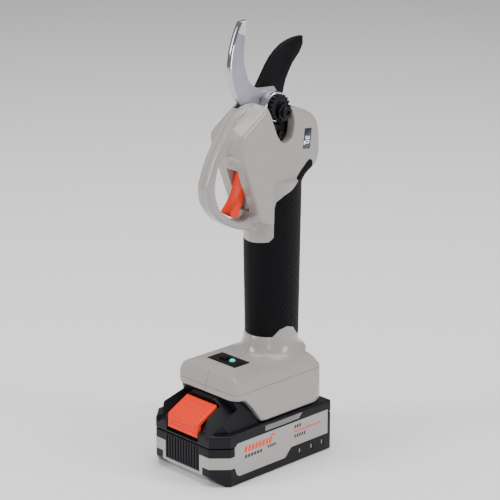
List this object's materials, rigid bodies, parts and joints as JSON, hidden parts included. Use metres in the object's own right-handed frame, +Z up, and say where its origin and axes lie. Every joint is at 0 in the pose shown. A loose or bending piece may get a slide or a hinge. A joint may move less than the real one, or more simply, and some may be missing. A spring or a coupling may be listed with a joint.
{
  "type": "battery electric pruner",
  "caption": "Cordless one-handed pruner with a hooked fixed blade, a powered cutting blade, a guarded trigger, an oval grip and a slide-on battery foot.",
  "frame": {"origin": "centre of the battery's flat underside, which the tool stands on", "axes": "+Z up along the handle, -Y towards the trigger and the battery latch, +X towards the side with the blade nut and the display"},
  "size_m": [0.0802, 0.1289, 0.3357],
  "materials": {
    "housing": "glossy moulded warm grey",
    "case": "satin moulded black",
    "grip": "fine textured overmould",
    "accent": "orange satin gloss",
    "blade": "ground and polished",
    "coated": "matt black non-stick coating",
    "dark_steel": "blackened",
    "gearcase": "machined",
    "gear": "ground",
    "winding": "lacquered copper winding",
    "board": "solder mask",
    "cell": "shrink sleeve",
    "lens": "clear dark lens",
    "light": "lit lens"
  },
  "bodies": {
    "tool": {"left_housing": "housing", "right_housing": "housing", "motor_end_cap": "case", "trigger_switch": "case", "switch_plate": "case", "terminal_block": "case", "left_grip": "grip", "right_grip": "grip", "fixed_blade": "blade", "pivot_boss": "blade", "pivot_bolt": "dark_steel", "pivot_nut": "dark_steel", "lock_plate": "dark_steel", "lock_screw": "dark_steel", "head_bracket": "dark_steel", "bracket_screw_1": "dark_steel", "bracket_screw_2": "dark_steel", "motor_can": "dark_steel", "housing_screw_1": "dark_steel", "housing_screw_2": "dark_steel", "housing_screw_3": "dark_steel", "housing_screw_4": "dark_steel", "housing_screw_5": "dark_steel", "gear_case": "gearcase", "ring_gear": "gear", "rear_bearing": "gear", "front_bearing": "gear", "trigger_pin": "gear", "control_board": "board", "display_module": "board", "display_window": "lens", "status_light": "light"},
    "moving_blade": {"moving_blade": "coated"},
    "output_shaft": {"drive_shaft": "gear", "planet_carrier": "gear"},
    "planet_1": {"planet_gear_1": "gear"},
    "planet_2": {"planet_gear_2": "gear"},
    "planet_3": {"planet_gear_3": "gear"},
    "rotor": {"motor_shaft": "gear", "rotor_core": "winding"},
    "trigger": {"trigger": "accent"},
    "power_button": {"power_button": "case"},
    "battery": {"battery_lower_case": "case", "battery_upper_case": "case", "battery_trim": "housing", "gauge_window": "lens", "cell_holder": "case", "battery_cell_1": "cell", "battery_cell_2": "cell", "battery_cell_3": "cell", "battery_cell_4": "cell", "battery_cell_5": "cell", "battery_screw_1": "dark_steel", "battery_screw_2": "dark_steel", "battery_screw_3": "dark_steel", "battery_screw_4": "dark_steel"},
    "latch_button": {"latch_button": "accent"}
  },
  "joints": [
    {"name": "blade_pivot", "type": "hinge", "parent": "tool", "child": "moving_blade", "pos_m": [0, 0.0315, 0.269], "axis": [1, 0, 0], "range_deg": [0, 66]},
    {"name": "output_spin", "type": "hinge", "parent": "tool", "child": "output_shaft", "pos_m": [0, 0.0315, 0.2], "axis": [0, 0, 1], "range_deg": [-331, 1]},
    {"name": "planet_1_spin", "type": "hinge", "parent": "output_shaft", "child": "planet_1", "pos_m": [0, 0.03893, 0.184], "axis": [0, 0, 1], "range_deg": [-1, 925]},
    {"name": "planet_2_spin", "type": "hinge", "parent": "output_shaft", "child": "planet_2", "pos_m": [-0.00643, 0.02779, 0.184], "axis": [0, 0, 1], "range_deg": [-1, 925]},
    {"name": "planet_3_spin", "type": "hinge", "parent": "output_shaft", "child": "planet_3", "pos_m": [0.00643, 0.02779, 0.184], "axis": [0, 0, 1], "range_deg": [-1, 925]},
    {"name": "rotor_spin", "type": "hinge", "parent": "tool", "child": "rotor", "pos_m": [0, 0.0315, 0.15], "axis": [0, 0, 1], "range_deg": [-1486, 1]},
    {"name": "trigger_pull", "type": "hinge", "parent": "tool", "child": "trigger", "pos_m": [0, 0.005, 0.229], "axis": [1, 0, 0], "range_deg": [0, 12], "stiffness_Nm_per_rad": 0.15},
    {"name": "power_press", "type": "slide", "parent": "tool", "child": "power_button", "axis": [0, 0, -1], "range_m": [0, 0.0008], "stiffness_N_per_m": 400},
    {"name": "battery_slide", "type": "slide", "parent": "tool", "child": "battery", "axis": [0, -1, 0], "range_m": [0, 0.08]},
    {"name": "latch_press", "type": "slide", "parent": "battery", "child": "latch_button", "axis": [0, 0.447, -0.8945], "range_m": [0, 0.0025], "stiffness_N_per_m": 600}
  ],
  "couplings": [
    {"joint": "output_spin", "follows": "blade_pivot", "ratio": -5},
    {"joint": "planet_1_spin", "follows": "blade_pivot", "ratio": 14},
    {"joint": "planet_2_spin", "follows": "blade_pivot", "ratio": 14},
    {"joint": "planet_3_spin", "follows": "blade_pivot", "ratio": 14},
    {"joint": "rotor_spin", "follows": "blade_pivot", "ratio": -22.5}
  ]
}
